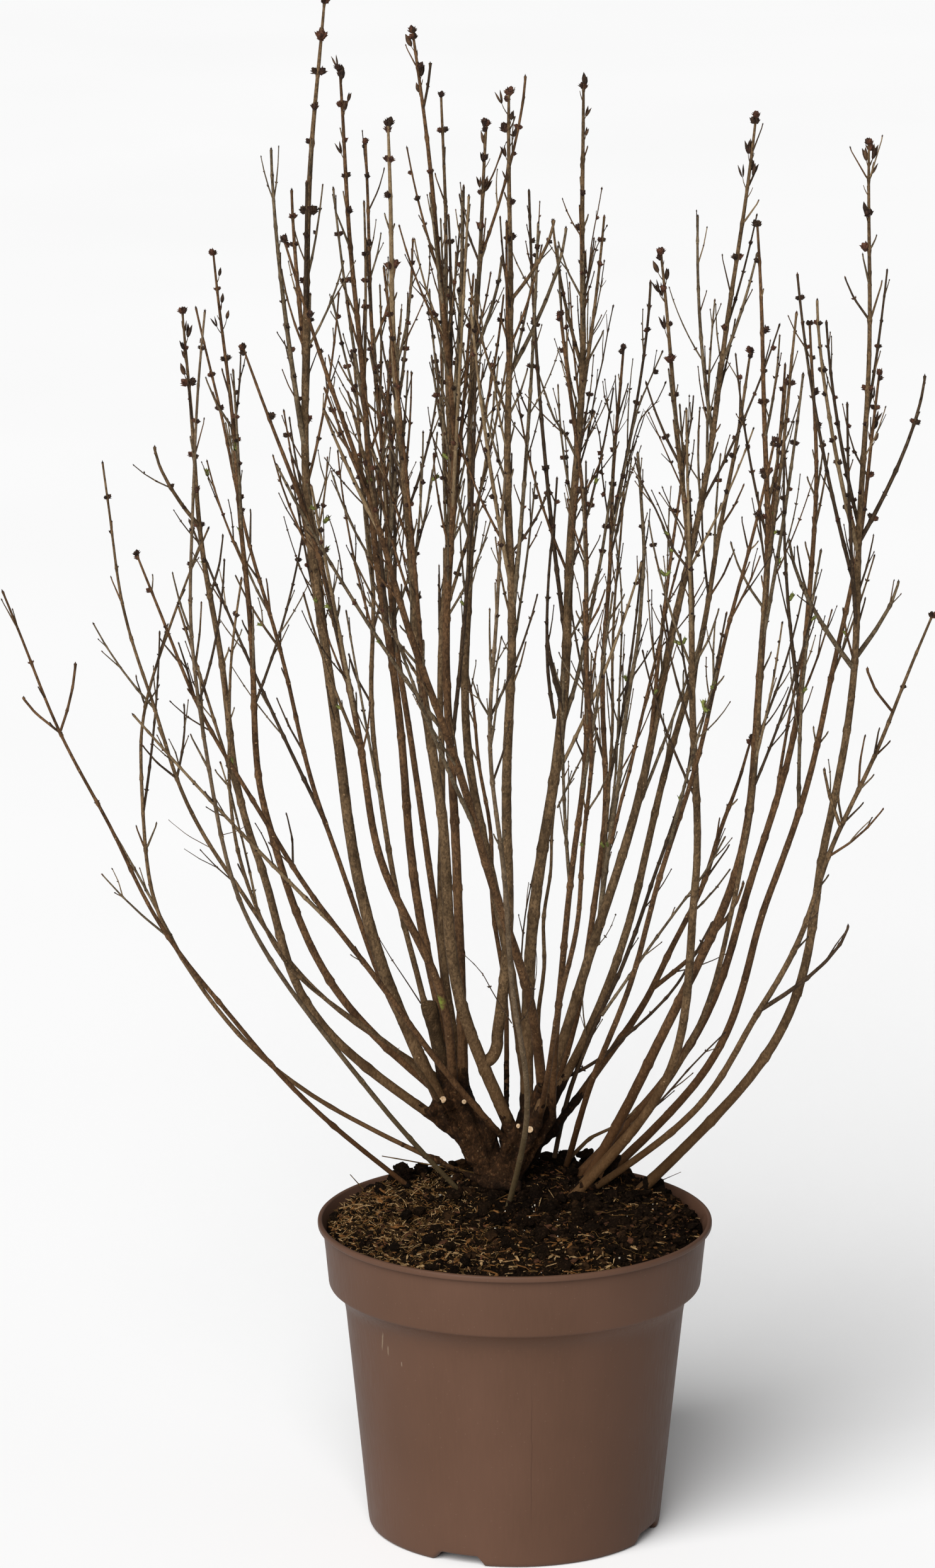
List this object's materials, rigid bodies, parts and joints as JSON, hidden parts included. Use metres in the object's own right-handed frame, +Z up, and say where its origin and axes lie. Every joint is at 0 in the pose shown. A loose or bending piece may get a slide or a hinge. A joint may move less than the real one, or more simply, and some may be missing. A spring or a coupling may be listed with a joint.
{
  "type": "potted bare lilac bush",
  "caption": "Bare, many-stemmed lilac bush in winter, its slender upright stems and twigs rising from a knobby stool, in a round nursery pot of soil.",
  "frame": {"origin": "middle of the pot's flat underside, on the surface it stands on", "axes": "+Z up, -Y towards the front of the plant, +X to its right"},
  "size_m": [0.6356, 0.5744, 1.0831],
  "materials": {
    "pot": "satin moulded polypropylene, fine brushed texture",
    "soil": "moist peat with bark fibre and straw",
    "bark": "matte brown bark with pale lenticels",
    "twigs": "matte grey-brown twig bark"
  },
  "bodies": {
    "root": {"pot": "pot", "soil": "soil", "stool": "bark", "twigs_left_01": "twigs", "twigs_left_02": "twigs", "twigs_left_03": "twigs", "bough_left_04": "bark", "twigs_left_04": "twigs", "twigs_left_05": "twigs", "twigs_left_06": "twigs", "bough_left_07": "bark", "twigs_left_07": "twigs", "twigs_left_08": "twigs", "bough_left_09": "bark", "twigs_left_09": "twigs", "twigs_left_10": "twigs", "bough_left_11": "bark", "twigs_left_11": "twigs", "bough_middle_01": "bark", "twigs_middle_01": "twigs", "bough_middle_02": "bark", "twigs_middle_02": "twigs", "twigs_middle_03": "twigs", "twigs_middle_04": "twigs", "bough_middle_05": "bark", "twigs_middle_05": "twigs", "bough_middle_06": "bark", "twigs_middle_06": "twigs", "twigs_middle_07": "twigs", "twigs_middle_08": "twigs", "bough_middle_09": "bark", "twigs_middle_09": "twigs", "twigs_middle_10": "twigs", "bough_middle_11": "bark", "twigs_middle_11": "twigs", "twigs_middle_12": "twigs", "twigs_middle_13": "twigs", "twigs_middle_14": "twigs", "bough_middle_15": "bark", "twigs_middle_15": "twigs", "twigs_middle_16": "twigs", "bough_right_01": "bark", "twigs_right_01": "twigs", "bough_right_02": "bark", "twigs_right_02": "twigs", "bough_right_03": "bark", "twigs_right_03": "twigs", "twigs_right_04": "twigs", "bough_right_05": "bark", "twigs_right_05": "twigs", "twigs_right_06": "twigs", "twigs_right_07": "twigs", "bough_right_08": "bark", "twigs_right_08": "twigs", "bough_right_09": "bark", "twigs_right_09": "twigs", "bough_right_10": "bark", "twigs_right_10": "twigs", "twigs_right_11": "twigs"}
  },
  "joints": []
}
